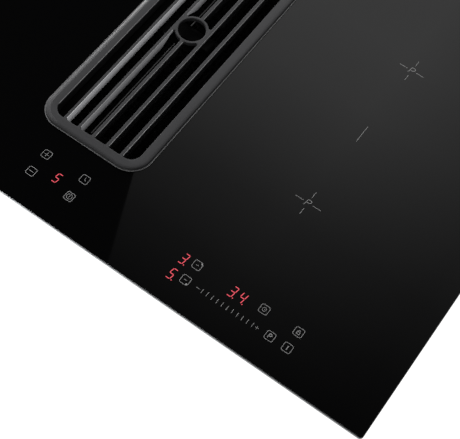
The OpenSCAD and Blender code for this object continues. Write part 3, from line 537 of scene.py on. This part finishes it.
def outer_profile():
    """From the top's edge down the slope, round the lip and down the skirt: (outwards, level)."""
    lip_top, lip_low, lip, steps = 1.1, 0.5, 1.2, 10
    skirt_x = -band + 2.2
    profile = []
    for a in (math.radians(90 * k / steps) for k in range(steps)):
        out = -slope + (slope - lip) * math.sin(a)
        profile.append((out, lip_top + (rise - lip_top) * math.cos(a)))
    return profile + [
        (-lip, lip_top + 0.12), (-lip + 0.1, lip_top), (-0.15, lip_top), (0, lip_top - 0.15),
        (0, lip_low + 0.1), (-0.1, lip_low), (skirt_x, lip_low), (skirt_x, SKIRT_Z)]


def build_grille():
    """The grille's skin, cut apart where faces get a lamp of their own, or the lip's paler grey of
    painted highlight.
    """
    slot_edge, ring_edge = 0.7, 1.3
    bm = bmesh.new()
    holes = []
    for i in range(slat_n + 1):
        for part in (-1, 1) if i in RING_SLOTS else (0,):
            holes.append(hole_walls(bm, lambda g, i=i, p=part: slot_loop(i, p, g), slot_edge))
    holes.append(hole_walls(bm, lambda g: circle(0, 0, ring_in + g, 64), ring_edge, 6))

    def outline(out):
        r = corner_r + out
        return round_rect(-half_w - out, half_w + out, -half_l - out, half_l + out, [r] * 4, 14)

    rows = [ring_verts(bm, outline(x), z) for x, z in outer_profile()]
    strips(bm, rows)
    fill(bm, [rows[0]] + [top for top, low in holes])
    fill(bm, [rows[-1]] + [low for top, low in holes])
    clean(bm)
    walls = [-open_x + k * pitch for k in range(slat_n + 1)]
    groups = (("grille_wall_1", walls[1:2]), ("grille_wall_2", walls[2:3]),
              ("grille_walls_others", walls[:1] + walls[3:]))
    parts = [(name, move_faces(bm, lambda f: on_wall(f, group))) for name, group in groups]
    lip_faces = move_faces(bm, on_lip)
    parts.append(("grille_slope_left", move_faces(bm, on_left_slope)))
    black = finishes["grille_black"]
    pieces = [add_piece("grille_casting", bm, black, "grille", 40)]
    pieces += [add_piece(name, part, black, "grille", 40) for name, part in parts]
    pieces.append(add_piece("grille_lip", lip_faces, lip_painted_highlight, "grille", 40))
    return pieces


casting, wall_1, wall_2, other_walls, left_slope, lip_ring = build_grille()
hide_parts("grille")


# ---------------------------------------------------------------- filter

def level(node):
    """Lower and upper level of a node, in millimetres above the glass."""
    lo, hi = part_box(node)
    return (lo.z - glass_top) / MM, (hi.z - glass_top) / MM


def prism(bm, loop, z0, z1):
    """Solid over a plan, between two levels."""
    low, high = ring_verts(bm, loop, z0), ring_verts(bm, loop, z1)
    strip(bm, low, high)
    fill(bm, [low])
    fill(bm, [high])


STRAND, SHEET = 1.5, 0.8


def expanded(bm, half_x, half_y, r, z, clear=None):
    """Expanded metal: strands that zigzag along Y and meet at their bends, round a clear field."""
    step_x, step_y = 7.0, 6.0
    count = int((2 * half_x - STRAND) / step_x)
    for i in range(count):
        mid = (i - (count - 1) / 2) * step_x
        edge = max(0.0, abs(mid) + step_x / 2 + STRAND / 2 - (half_x - r))
        reach = half_y - r + math.sqrt(max(0.0, r * r - edge * edge))
        last = None
        rows = int((reach - STRAND) / step_y)
        for j in range(-rows, rows + 1):
            x = mid + step_x / 2 * (1 if (i + j) % 2 else -1)
            y = j * step_y
            if clear and abs(x) < clear[0] and abs(y) < clear[1]:
                last = None
                continue
            section = ((x - STRAND / 2, z), (x + STRAND / 2, z),
                       (x + STRAND / 2, z + SHEET), (x - STRAND / 2, z + SHEET))
            ring = [vert(bm, u, y, v) for u, v in section]
            if last:
                strip(bm, last, ring)
            last = ring


def rivet(bm, x, y, z):
    """Low domed rivet head with a flat on its top."""
    r, tall = 2.4, 0.8
    rows = []
    for a in (math.radians(angle) for angle in (0, 25, 50, 75)):
        rows.append(ring_verts(bm, circle(x, y, r * math.cos(a), 20), z + tall * math.sin(a)))
    strips(bm, rows)
    fill(bm, [rows[-1]])


def half_size(node):
    """Half the width and half the depth of a node, in millimetres."""
    lo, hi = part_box(node)
    return (hi.x - lo.x) / 2 / MM, (hi.y - lo.y) / 2 / MM


def strap_line(span, tall, inset):
    """Side view of the strap's outer face, or of the inner one where inset is its thickness."""
    bend = 4.0
    line = [(-span + inset, 0.0)]
    for a in (math.radians(15 * k) for k in range(7)):
        line.append((-span + bend - (bend - inset) * math.cos(a),
                     tall - bend + (bend - inset) * math.sin(a)))
    return line + [(-x, z) for x, z in reversed(line)]


def build_filter():
    """The two expanded sheets with the handle's plain field, the bent strap on it, and a bead."""
    corner_radius, thick = 13.0, 1.5
    half_x, half_y = half_size("filter_meshes")
    z0, z1 = level("filter_meshes")
    span, wide = half_size("filter_handle")
    foot, top = level("filter_handle")
    field_x, field_y = span + wide, 2 * wide
    bm = bmesh.new()
    expanded(bm, half_x, half_y, corner_radius, z0)
    expanded(bm, half_x, half_y, corner_radius, z1 - SHEET, (field_x, field_y))
    plate = round_rect(-field_x, field_x, -field_y, field_y, [wide] * 4)
    prism(bm, plate, z1 - SHEET, z1)
    mesh_black, handle_black = finishes["filter_mesh"], finishes["filter_handle"]
    sheets = add_piece("filter_expanded_sheets", bm, mesh_black, "filter")

    bm = bmesh.new()
    outer, inner = strap_line(span, top - foot, 0.0), strap_line(span, top - foot, thick)
    rows = []
    for (xo, zo), (xi, zi) in zip(outer, inner):
        section = ((xo, -wide, zo), (xo, wide, zo), (xi, wide, zi), (xi, -wide, zi))
        rows.append([vert(bm, x, y, foot + z) for x, y, z in section])
    strips(bm, rows)
    for x in (-1, 1):
        for y in (-1, 1):
            rivet(bm, x * (span + 4), y * wide / 2, foot)

    # Bead left of the filter's middle line, in front of the plain field and behind it
    bead_x, bead_r = -12.5, 0.8
    bead = bmesh.new()
    for side in (-1, 1):
        rows = []
        for y in sorted((side * (field_y + 2), side * (half_y - 12))):
            rows.append([vert(bead, bead_x + bead_r * math.cos(a), y, foot + bead_r * math.sin(a))
                         for a in (math.radians(angle) for angle in range(0, 181, 20))])
        strip(bead, rows[0], rows[1], False)
    ridge = add_piece("filter_bead", bead, bead_metal, "filter")
    strap = add_piece("filter_strap", bm, handle_black, "filter")
    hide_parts("filter_meshes")
    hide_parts("filter_handle")
    return ridge


filter_bead = build_filter()


# ---------------------------------------------------------------- printed marks and digits

# The prints and digits lie this far over the glass, in metres
LIFT = 0.00005
KEY, LINE = 9.83, 0.5


def flat_vert(bm, p):
    """Vertex on the glass, in millimetres to the right of and behind its front right corner."""
    return bm.verts.new(corner + Vector((p.x * MM, p.y * MM, LIFT)))


def ribbon(bm, points, width, closed=False):
    """Flat line of a width through points, mitred at its bends."""
    pts = [Vector(p) for p in points]
    n = len(pts)
    left, right = [], []
    for i, p in enumerate(pts):
        dirs = []
        if i or closed:
            dirs.append((p - pts[i - 1]).normalized())
        if i < n - 1 or closed:
            dirs.append((pts[(i + 1) % n] - p).normalized())
        along = sum(dirs, Vector((0, 0))).normalized()
        side = Vector((-along.y, along.x)) * width / 2 / max(0.5, along.dot(dirs[0]))
        left.append(flat_vert(bm, p + side))
        right.append(flat_vert(bm, p - side))
    last = n if closed else n - 1
    for i in range(last):
        j = (i + 1) % n
        bm.faces.new((right[i], right[j], left[j], left[i]))


def dot(bm, p, r):
    bm.faces.new([flat_vert(bm, p + Vector(q)) for q in circle(0, 0, r, 16)])


def at(p, points):
    return [Vector((p[0] + x, p[1] + y)) for x, y in points]


def key_frame(bm, p, mark=None):
    """Rounded square of a touch key, with a dot in its upper (1) or lower (-1) right corner."""
    h = KEY / 2
    loop = round_rect(-h, h, -h, h, [1.9] * 4, 6)
    ribbon(bm, at(p, loop), LINE, True)
    if mark:
        inset = h - 1.2
        dot(bm, Vector(p) + Vector((inset, mark * inset)), 1.25)


def glyph_plus(bm, p, arm=2.9, width=LINE, upright=True):
    """A plus, or a minus where it isn't upright."""
    ribbon(bm, at(p, [(-arm, 0), (arm, 0)]), width)
    if upright:
        ribbon(bm, at(p, [(0, -arm), (0, arm)]), width)


def hands(bm, p, tall=2.8):
    """The two hands of a clock."""
    ribbon(bm, at(p, [(0, tall), (0, 0), (tall * 0.6, -tall * 0.5)]), 0.45)


def glyph_clock(bm, p):
    r = 2.2
    ribbon(bm, at(p, circle(0, 0, r, 28)), 0.4, True)
    hands(bm, p, r - 0.9)


def glyph_power(bm, p):
    ribbon(bm, at(p, circle(0, 0, 3.1, 28)), 0.45, True)
    ribbon(bm, at(p, [(0, -1.6), (0, 1.6)]), 0.6)


def glyph_lock(bm, p):
    ribbon(bm, at(p, [(-1.7, -2.3), (1.7, -2.3), (1.7, 0.3), (-1.7, 0.3)]), 0.6, True)
    ribbon(bm, at(p, [(-1.1, 0.3)] + arc(0, 1.1, 1.1, 180, 0, 10) + [(1.1, 0.3)]), 0.5)


def glyph_p(bm, p, tall=5.0, slant=0.0, width=0.8):
    w, h = tall * 0.3, tall / 2
    stem = [(-w, -h), (-w, h)]
    bowl = [(-w, h)] + arc(w * 0.2, h * 0.48, h * 0.52, 90, -90, 10) + [(-w, -h * 0.04)]
    for line in (stem, bowl):
        ribbon(bm, at(p, [(x + slant * y, y) for x, y in line]), width)


def mirrored(x, s):
    """Distance x from the right edge on the right side (s = 1), or its mirror image (s = -1)."""
    return x if s > 0 else 2 * centre - x


def side_panel(bm, s):
    """Keys and slider of one side panel: the right one (s = 1), or the left one (s = -1).

    The left panel's marks stand at mirrored places, and are not mirrored themselves.
    """

    def m(x, y):
        return mirrored(x, s), y

    for y, mark in ((55.0, 1), (34.2, -1)):
        key_frame(bm, m(-235, y), mark)
        ribbon(bm, at(m(-235, y), [(-1.6, 0), (1.6, 0)]), LINE)
    minus_y, plus_y = (34.4, 34.8) if s > 0 else (34.8, 34.4)
    glyph_plus(bm, m(-219.7, minus_y), 2.2, 0.45, False)
    glyph_plus(bm, m(-146.7, plus_y), 2.0, 0.45)
    for i in range(11):
        ribbon(bm, at(m(-214.1 + 6.21 * i, 34.5), [(0, -2.75), (0, 2.75)]), LINE)
    for x, y, draw in ((-152.0, 55.7, glyph_clock), (-131.1, 35.1, glyph_p),
                       (-110.3, 56.0, glyph_lock)):
        key_frame(bm, m(x, y))
        draw(bm, m(x, y))
    key_frame(bm, m(-110.2, 35.2))
    ribbon(bm, at(m(-110.2, 35.2), [(0, -2.5), (0, 2.5)]), 0.9)


def glyph_minus(bm, p):
    glyph_plus(bm, p, upright=False)


def hood_panel(bm):
    """Keys of the extractor's panel, in front of the grille."""
    for x, y, draw in ((-25.8, 63.9, glyph_plus), (-25.5, 38.1, glyph_minus),
                       (25.5, 64.3, hands), (25.6, 38.5, glyph_power)):
        p = (centre + x, y)
        key_frame(bm, p)
        draw(bm, p)


def zone_mark(bm, x, y):
    """Cross of four arms round an italic letter."""
    reach = 16
    for dx, dy in ((1, 0), (-1, 0), (0, 1), (0, -1)):
        inner = 5.8 if dx else 7.8
        arm = [(x + dx * inner, y + dy * inner), (x + dx * reach, y + dy * reach)]
        ribbon(bm, arm, LINE)
    glyph_p(bm, (x, y), 8.0, 0.18, 0.6)


def zone_marks(bm, s):
    """The two zones of one side and the line between them."""
    for y in (185.5, 402.4):
        zone_mark(bm, mirrored(-184.4, s), y)
    x = mirrored(-184.5, s)
    ribbon(bm, [(x, 282.4), (x, 306.3)], LINE)


def build_prints():
    for name, draw in (
        ("print_right_panel", lambda bm: side_panel(bm, 1)),
        ("print_left_panel", lambda bm: side_panel(bm, -1)),
        ("print_extractor_panel", hood_panel),
        ("print_zones_right", lambda bm: zone_marks(bm, 1)),
        ("print_zones_left", lambda bm: zone_marks(bm, -1)),
    ):
        bm = bmesh.new()
        draw(bm)
        add_piece(name, bm, print_grey, "cooktop")


build_prints()

# Lit segments of the digits: a to f from the top clockwise, and g in the middle
SEGMENTS = {"3": "abcdg", "4": "bcfg", "5": "acdfg"}


def digit(bm, x, y, value, wide, tall, point=False):
    """Slanted seven-segment figure centred on a point of the glass, and its decimal point."""
    bar, gap, slant = 0.85, 0.25, 0.17
    w, h = wide / 2 - bar / 2, tall / 2 - bar / 2
    ends = {"a": ((-w, h), (w, h)), "b": ((w, h), (w, 0)), "c": ((w, 0), (w, -h)),
            "d": ((-w, -h), (w, -h)), "f": ((-w, h), (-w, 0)), "g": ((-w, 0), (w, 0))}
    for name in SEGMENTS[value]:
        a, b = (Vector(p) for p in ends[name])
        d = (b - a).normalized()
        n = Vector((-d.y, d.x)) * bar / 2
        a, b = a + d * gap, b - d * gap
        tip = d * bar / 2
        outline = (a, a + tip + n, b - tip + n, b, b - tip - n, a + tip - n)
        bm.faces.new([flat_vert(bm, Vector((x + p.x + slant * p.y, y + p.y))) for p in outline])
    if point:
        dot(bm, Vector((x + w + 1.1, y - h)), 0.6)


def build_digits():
    """The lit digits: four on each side panel, each with its point, and one on the extractor's."""
    wide, side_tall, extractor_tall = 6.0, 13.3, 12.3
    red = finishes["display_red"]
    for s, name in ((1, "right"), (-1, "left")):
        bm = bmesh.new()
        for x, y, value in ((-250.4, 52.7, "3"), (-250.4, 31.6, "5"),
                            (-188.8, 52.7, "3"), (-177.0, 52.7, "4")):
            digit(bm, mirrored(x, s), y, value, wide, side_tall, True)
        add_piece("digits_" + name, bm, red, "cooktop")
    bm = bmesh.new()
    digit(bm, centre + 1.4, 48.1, "5", wide, extractor_tall)
    add_piece("digits_extractor", bm, red, "cooktop")


build_digits()


# ---------------------------------------------------------------- floor, light and camera

scene = bpy.context.scene
scene.view_settings.view_transform = "Standard"


def sheet(name, verts):
    """Flat glowing sheet that isn't part of the object."""
    bm = bmesh.new()
    bm.faces.new([bm.verts.new(v) for v in verts])
    mesh = bpy.data.meshes.new(name)
    bm.to_mesh(mesh)
    bm.free()
    obj = bpy.data.objects.new(name, mesh)
    scene.collection.objects.link(obj)
    return obj


def grey(level):
    return level, level, level


def build_floor():
    """Pale floor that glows a little, so that it stays white."""
    half, z = 6, -0.001
    mat, tree, bsdf = shader("floor_white", grey(0.9), 0.9,
                             Emission_Color=(1, 1, 1, 1), Emission_Strength=1.02)
    patches = spread(tree, noise(tree, place(tree), 3.0), 0, 1)
    tree.links.new(blend_colors(tree, patches, grey(0.88), grey(0.92)), bsdf.inputs["Base Color"])
    floor = sheet("floor", [(-half, -half, z), (half, -half, z), (half, half, z), (-half, half, z)])
    floor.data.materials.append(mat)


def build_softbox():
    """Softbox high above the back of the glass, seen only in reflections.

    It fades towards the front and the right. Its left side leans as its reflection's edge does.
    """
    z = glass_top + 1.5
    near_y, full_y, far_y = corner.y + 0.40, corner.y + 1.56, corner.y + 2.6
    right_x = corner.x + 0.7

    def left_x(y):
        return corner.x - 0.7706 - 0.438 * (y - corner.y - 0.51)

    card = sheet("softbox", [(left_x(near_y), near_y, z), (right_x, near_y, z),
                             (right_x, far_y, z), (left_x(far_y), far_y, z)])
    mat = bpy.data.materials.new("softbox_glow")
    mat.use_nodes = True
    tree = mat.node_tree
    tree.nodes.clear()
    where = place(tree)
    parts = tree.nodes.new("ShaderNodeSeparateXYZ")
    tree.links.new(where, parts.inputs["Vector"])
    ramp = tree.nodes.new("ShaderNodeValToRGB")
    tree.links.new(spread(tree, parts.outputs["Y"], 0, 1, near_y, full_y), ramp.inputs["Fac"])
    # Share of the way from near_y to full_y, and the brightness there
    stops = ((0.0, 0.0), (0.1, 0.04), (0.27, 0.12), (0.45, 0.27),
             (0.62, 0.5), (0.8, 0.73), (1.0, 0.86))
    elements = ramp.color_ramp.elements
    for k, (share, bright) in enumerate(stops):
        stop = elements[k] if k < 2 else elements.new(share)
        stop.position = share
        stop.color = (*grey(bright), 1)
    fade = spread(tree, parts.outputs["X"], 1.0, 0.5, corner.x - 0.515, corner.x - 0.1)
    light = tree.nodes.new("ShaderNodeEmission")
    tree.links.new(ramp.outputs["Color"], light.inputs["Color"])
    tree.links.new(fade, light.inputs["Strength"])
    out = tree.nodes.new("ShaderNodeOutputMaterial")
    tree.links.new(light.outputs[0], out.inputs["Surface"])
    card.data.materials.append(mat)
    for ray in ("camera", "diffuse", "transmission", "volume_scatter", "shadow"):
        setattr(card, "visible_" + ray, False)


build_floor()
build_softbox()


def area(name, where, aim, size, power):
    """Rectangular lamp at where, aimed at a point."""
    lamp = bpy.data.lights.new(name, "AREA")
    lamp.shape = "RECTANGLE"
    lamp.size, lamp.size_y = size
    lamp.energy = power
    obj = bpy.data.objects.new(name, lamp)
    scene.collection.objects.link(obj)
    obj.location = where
    obj.rotation_mode = "QUATERNION"
    obj.rotation_quaternion = (Vector(aim) - Vector(where)).to_track_quat("-Z", "Y")
    return obj


def only_on(piece, lamp, shadows=True):
    """Lets a lamp light only this piece. Without shadows, nothing stands in its way."""
    linking = lamp.light_linking
    linking.receiver_collection = bpy.data.collections.new(lamp.name + "_on")
    linking.receiver_collection.objects.link(piece)
    if not shadows:
        linking.blocker_collection = bpy.data.collections.new(lamp.name + "_blockers")


# Two lamps for everything
key = area("key", (-2.16, 1.62, 1.46), (0, 0, 0.2), (1.2, 1.2), 200)
key.visible_glossy = False
area("front_fill", (0.1, -2.2, 1.6), (0, 0, 0.2), (1.6, 1.0), 8)

# Lamps of their own for parts that those two leave darker than the photograph shows them
right_of_grille = g_mid + Vector((1.3, 0, 0.9))
low_right = g_mid + Vector((1.6, 0.3, 0.17))
back_left = g_mid + Vector((-1.35, 1.12, 0.36))
above_right = g_mid + Vector((0.5, 0.3, 1.4))
for wall, power in ((wall_1, 140), (wall_2, 75)):
    only_on(wall, area("glow_" + wall.name, right_of_grille, g_mid, (0.2, 0.9), power))
only_on(other_walls, area("slat_edge", low_right, g_mid, (0.8, 0.06), 36))
only_on(lip_ring, area("lip_glow", right_of_grille, g_mid, (0.6, 0.6), 10))
only_on(left_slope, area("slope_glow", back_left, g_mid, (0.3, 0.3), 26))
# This one stands lower than the glass, so that it lights the ground front edge and not the top
low_front, front_edge = (-0.35, -0.55, glass_top - 0.04), (0, glass_lo.y, glass_top - 0.002)
glass_plate = frame["nodes"]["glass_plate"]
only_on(glass_plate, area("edge_glow", low_front, front_edge, (0.2, 0.04), 30), False)
only_on(filter_bead, area("bead_glow", above_right, g_mid, (0.3, 0.3), 6), False)

# Sky that lights the part, brighter at the horizon and below it, while the camera sees white
world = bpy.data.worlds.new("studio")
scene.world = world
world.use_nodes = True
tree = world.node_tree
tree.nodes.clear()
coord = tree.nodes.new("ShaderNodeTexCoord")
parts = tree.nodes.new("ShaderNodeSeparateXYZ")
tree.links.new(coord.outputs["Generated"], parts.inputs["Vector"])
sky_power = spread(tree, parts.outputs["Z"], 0.2, 0.012, 0.05, 0.35)
sky = tree.nodes.new("ShaderNodeBackground")
sky.inputs["Color"].default_value = (1, 1, 1, 1)
tree.links.new(sky_power, sky.inputs["Strength"])
backdrop = tree.nodes.new("ShaderNodeBackground")
backdrop.inputs["Color"].default_value = (1, 1, 1, 1)
backdrop.inputs["Strength"].default_value = 1.0
path = tree.nodes.new("ShaderNodeLightPath")
pick = tree.nodes.new("ShaderNodeMixShader")
tree.links.new(path.outputs["Is Camera Ray"], pick.inputs["Fac"])
tree.links.new(sky.outputs[0], pick.inputs[1])
tree.links.new(backdrop.outputs[0], pick.inputs[2])
out = tree.nodes.new("ShaderNodeOutputWorld")
tree.links.new(pick.outputs[0], out.inputs["Surface"])

# Camera fitted to the keys, the zone marks and the edges of the glass that the photograph shows
lens = bpy.data.cameras.new("camera")
lens.lens, lens.sensor_width = 89.89, 36.0
lens.clip_start, lens.clip_end = 0.05, 50.0
camera = bpy.data.objects.new("camera", lens)
scene.collection.objects.link(camera)
forward = Vector((-0.2225, 0.4185, -0.8805)).normalized()
right = Vector((0.8148, 0.5757, 0.0677))
right = (right - right.dot(forward) * forward).normalized()
up = right.cross(forward)
stand = corner + Vector((0.0292, -0.386, 1.0618))
turned = Matrix((right, up, -forward)).transposed().to_4x4()
camera.matrix_world = Matrix.Translation(stand) @ turned
scene.camera = camera
